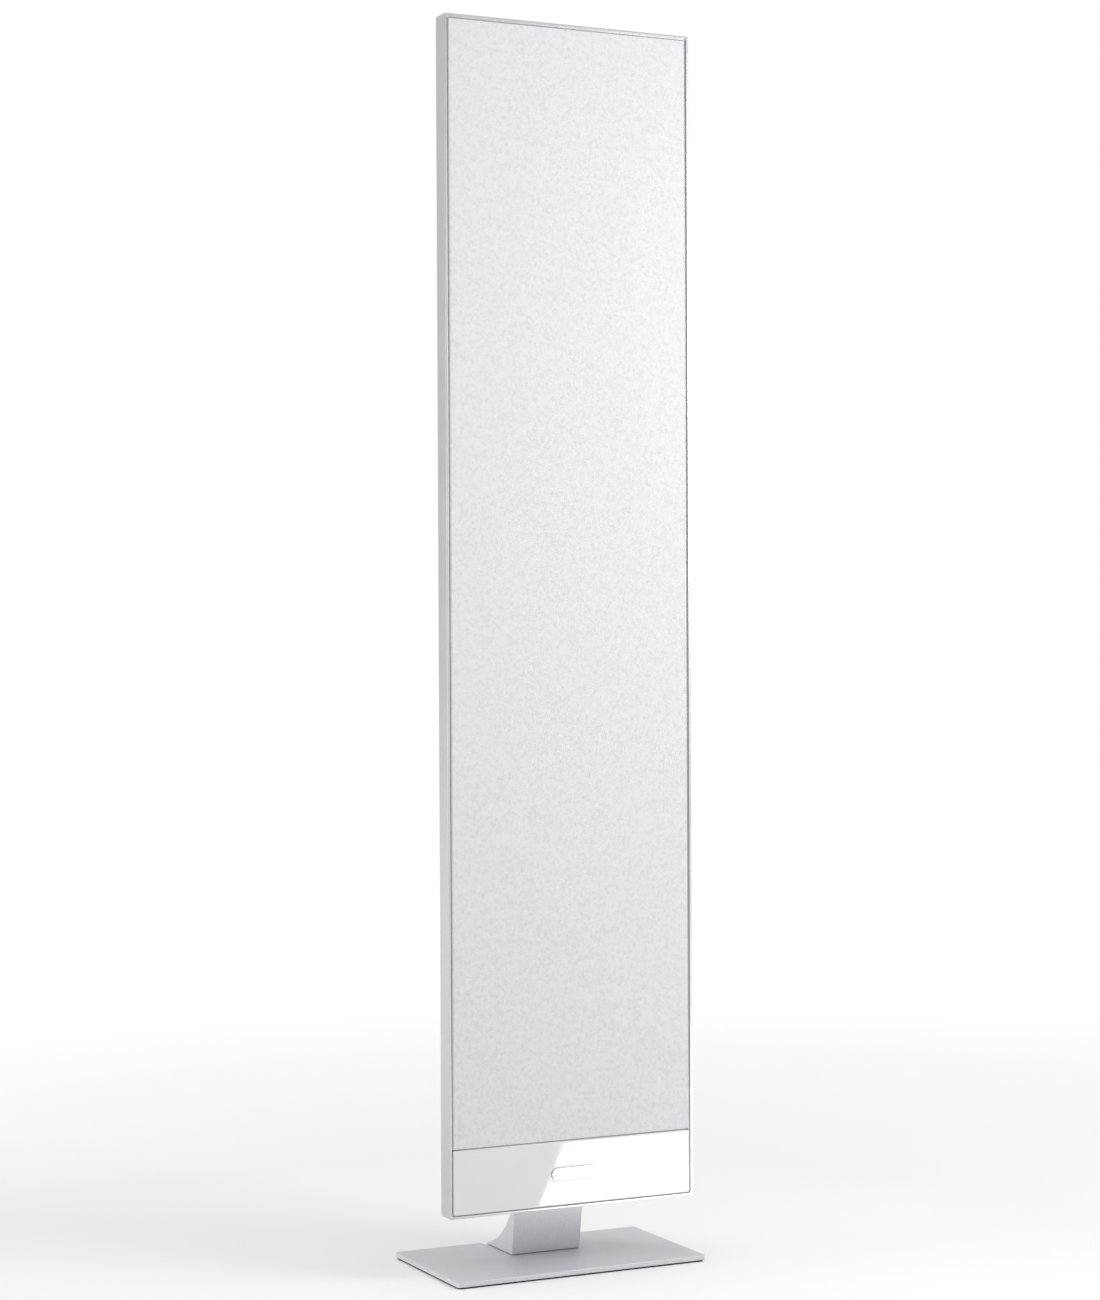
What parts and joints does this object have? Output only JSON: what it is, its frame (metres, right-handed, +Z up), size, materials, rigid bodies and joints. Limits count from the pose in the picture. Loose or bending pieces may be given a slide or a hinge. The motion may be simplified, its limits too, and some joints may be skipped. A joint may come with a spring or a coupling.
{
  "type": "slim satellite loudspeaker on a desk stand",
  "caption": "Tall flat closed-box loudspeaker panel with a pull-off cloth grille, dome tweeter between cone woofers, on a metal neck and low rectangular base plate.",
  "frame": {"origin": "centre of the base plate's outline, on the floor under the rubber pad", "axes": "+Z up the panel, -Y the way the grille faces, +X to the right seen from the front"},
  "size_m": [0.14, 0.08, 0.6323],
  "materials": {
    "silver_frame": "satin silver paint over extruded aluminium",
    "silver_plate": "fine satin silver powder coat over steel plate",
    "silver_neck": "fine satin silver coat over machined aluminium",
    "grille_cloth": "stretched acoustic cloth, white-silver",
    "gloss_white": "high gloss white",
    "badge_metal": "brushed, unmarked",
    "grille_plastic": "moulded",
    "baffle_plastic": "moulded, fine grain",
    "cover_plastic": "moulded, fine grain",
    "foam_seal": "closed-cell foam",
    "rubber_pad": "matte sheet",
    "basket_alloy": "black-coated cast alloy",
    "motor_steel": "zinc-plated steel",
    "magnet": "nickel-plated magnet",
    "cone_fibre": "coated fibre",
    "surround_rubber": "matte rubber",
    "spider_cloth": "resin-dipped corrugated cloth",
    "coil_copper": "enamelled copper winding",
    "dome_alloy": "drawn thin dome",
    "faceplate_plastic": "moulded",
    "screw_zinc": "zinc-plated",
    "screw_black": "black oxide",
    "circuit_board": "solder-masked board",
    "capacitor_film": "film capacitor case",
    "lead_insulation": "soft insulation",
    "terminal_black": "moulded",
    "lever_red": "moulded",
    "lever_black": "moulded"
  },
  "bodies": {
    "cabinet": {"base_plate": "silver_plate", "base_pad": "rubber_pad", "stand_neck": "silver_neck", "base_screw_left": "screw_zinc", "base_screw_right": "screw_zinc", "tongue_screw_lower": "screw_zinc", "tongue_screw_upper": "screw_zinc", "outer_frame": "silver_frame", "front_baffle": "baffle_plastic", "lower_fascia": "gloss_white", "badge": "badge_metal", "rear_cover": "cover_plastic", "cabinet_gasket": "foam_seal", "cover_screw_left_bottom": "screw_black", "cover_screw_right_bottom": "screw_black", "cover_screw_left_middle": "screw_black", "cover_screw_right_middle": "screw_black", "cover_screw_left_top": "screw_black", "cover_screw_right_top": "screw_black", "upper_basket": "basket_alloy", "upper_surround": "surround_rubber", "upper_spider": "spider_cloth", "upper_top_plate": "motor_steel", "upper_yoke": "motor_steel", "upper_magnet": "magnet", "upper_woofer_screw_1": "screw_black", "upper_woofer_screw_2": "screw_black", "upper_woofer_screw_3": "screw_black", "lower_basket": "basket_alloy", "lower_surround": "surround_rubber", "lower_spider": "spider_cloth", "lower_top_plate": "motor_steel", "lower_yoke": "motor_steel", "lower_magnet": "magnet", "lower_woofer_screw_1": "screw_black", "lower_woofer_screw_2": "screw_black", "lower_woofer_screw_3": "screw_black", "tweeter_faceplate": "faceplate_plastic", "tweeter_magnet": "magnet", "tweeter_pot": "motor_steel", "tweeter_screw_left": "screw_black", "tweeter_screw_right": "screw_black", "crossover_board": "circuit_board", "crossover_inductor": "coil_copper", "crossover_capacitor": "capacitor_film", "input_lead": "lead_insulation", "tweeter_lead": "lead_insulation", "woofer_lead": "lead_insulation", "terminal_cup": "terminal_black"},
    "upper_cone": {"upper_cone": "cone_fibre", "upper_dust_cap": "cone_fibre", "upper_voice_coil": "coil_copper"},
    "lower_cone": {"lower_cone": "cone_fibre", "lower_dust_cap": "cone_fibre", "lower_voice_coil": "coil_copper"},
    "tweeter_dome": {"tweeter_dome": "dome_alloy"},
    "grille": {"grille_frame": "grille_plastic", "grille_cloth": "grille_cloth"},
    "red_lever": {"terminal_lever_red": "lever_red"},
    "black_lever": {"terminal_lever_black": "lever_black"}
  },
  "joints": [
    {"name": "upper_woofer_stroke", "type": "slide", "parent": "cabinet", "child": "upper_cone", "axis": [0, -1, 0], "range_m": [-0.0025, 0.0025], "stiffness_N_per_m": 1900, "deforming": ["upper_surround", "upper_spider"]},
    {"name": "lower_woofer_stroke", "type": "slide", "parent": "cabinet", "child": "lower_cone", "axis": [0, -1, 0], "range_m": [-0.0025, 0.0025], "stiffness_N_per_m": 1900, "deforming": ["lower_surround", "lower_spider"]},
    {"name": "tweeter_stroke", "type": "slide", "parent": "cabinet", "child": "tweeter_dome", "axis": [0, -1, 0], "range_m": [-0.0003, 0.0003], "stiffness_N_per_m": 2500},
    {"name": "grille_release", "type": "slide", "parent": "cabinet", "child": "grille", "axis": [0, -1, 0], "range_m": [0, 0.05]},
    {"name": "red_lever_press", "type": "hinge", "parent": "cabinet", "child": "red_lever", "pos_m": [0.011, 0.0035, 0.1465], "axis": [1, 0, 0], "range_deg": [0, 18], "stiffness_Nm_per_rad": 0.16, "springref_deg": -2.86},
    {"name": "black_lever_press", "type": "hinge", "parent": "cabinet", "child": "black_lever", "pos_m": [-0.011, 0.0035, 0.1465], "axis": [1, 0, 0], "range_deg": [0, 18], "stiffness_Nm_per_rad": 0.16, "springref_deg": -2.86}
  ]
}
